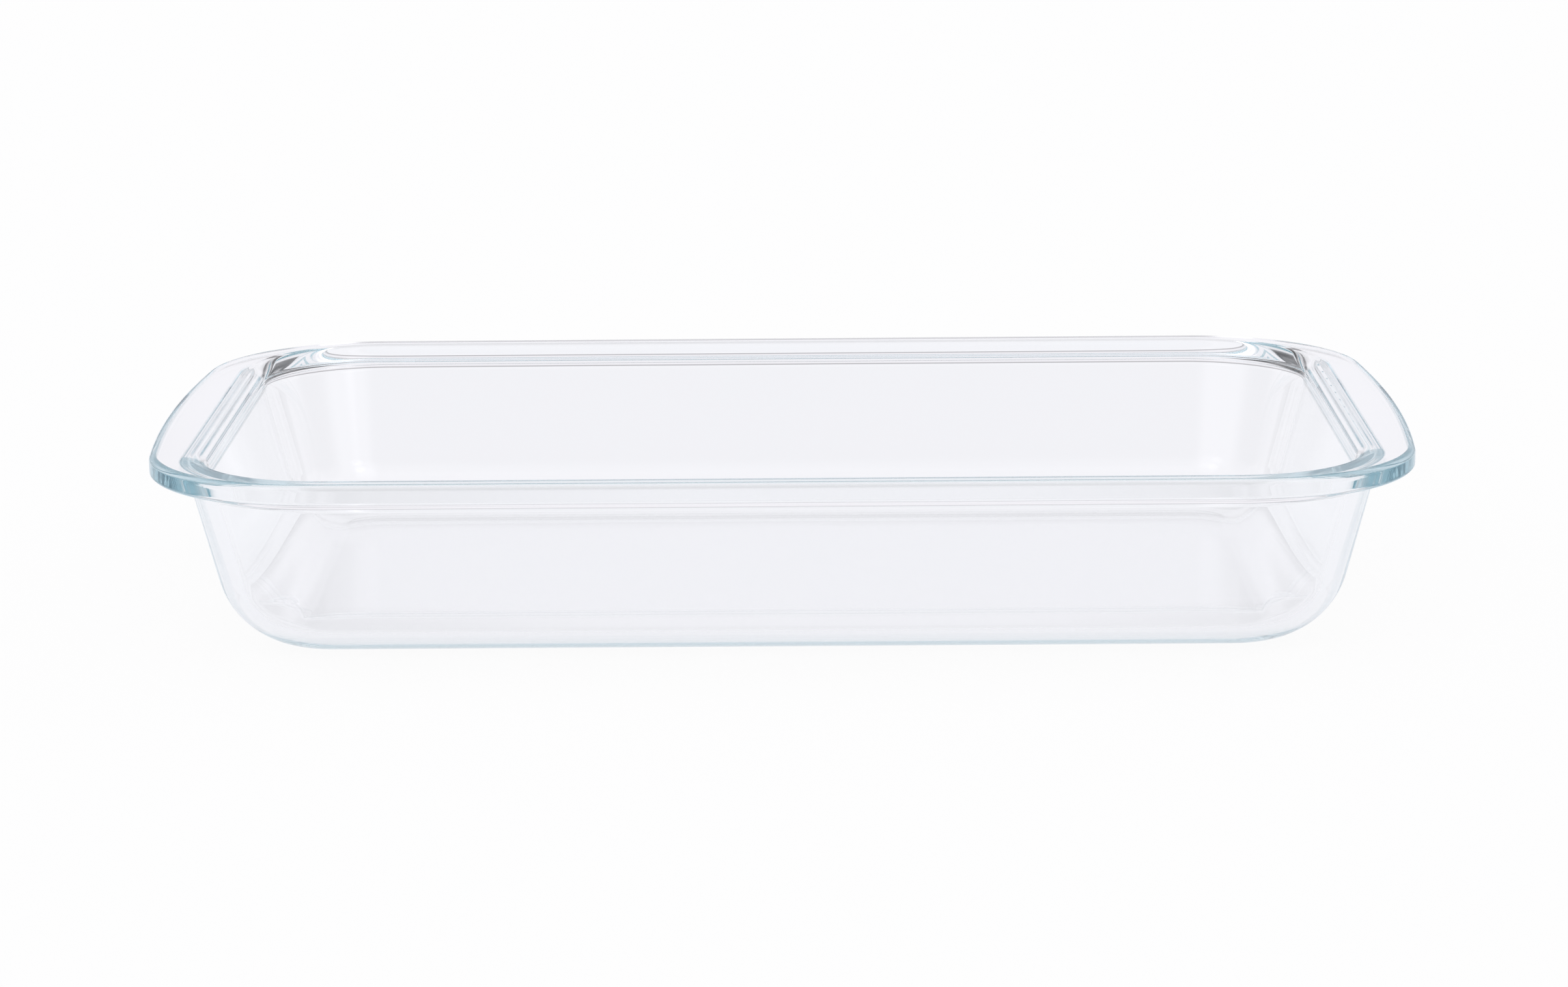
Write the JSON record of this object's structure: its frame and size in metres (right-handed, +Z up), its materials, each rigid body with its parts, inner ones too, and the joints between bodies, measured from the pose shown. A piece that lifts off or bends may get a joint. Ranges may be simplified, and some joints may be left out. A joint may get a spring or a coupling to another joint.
{
  "type": "lasagna dish",
  "caption": "Oblong clear pressed-glass baking dish: sloping walls, large round heel, shallow tub, and a flanged rim that widens into a bowed handle at each end.",
  "frame": {"origin": "middle of the flat base that the dish stands on", "axes": "+X along the dish from handle to handle, +Y across it, +Z up out of the mouth"},
  "size_m": [0.38, 0.23, 0.057],
  "materials": {
    "glass": "clear fire-polished oven glass with a faint blue-green edge"
  },
  "bodies": {
    "root": {"dish": "glass"}
  },
  "joints": []
}
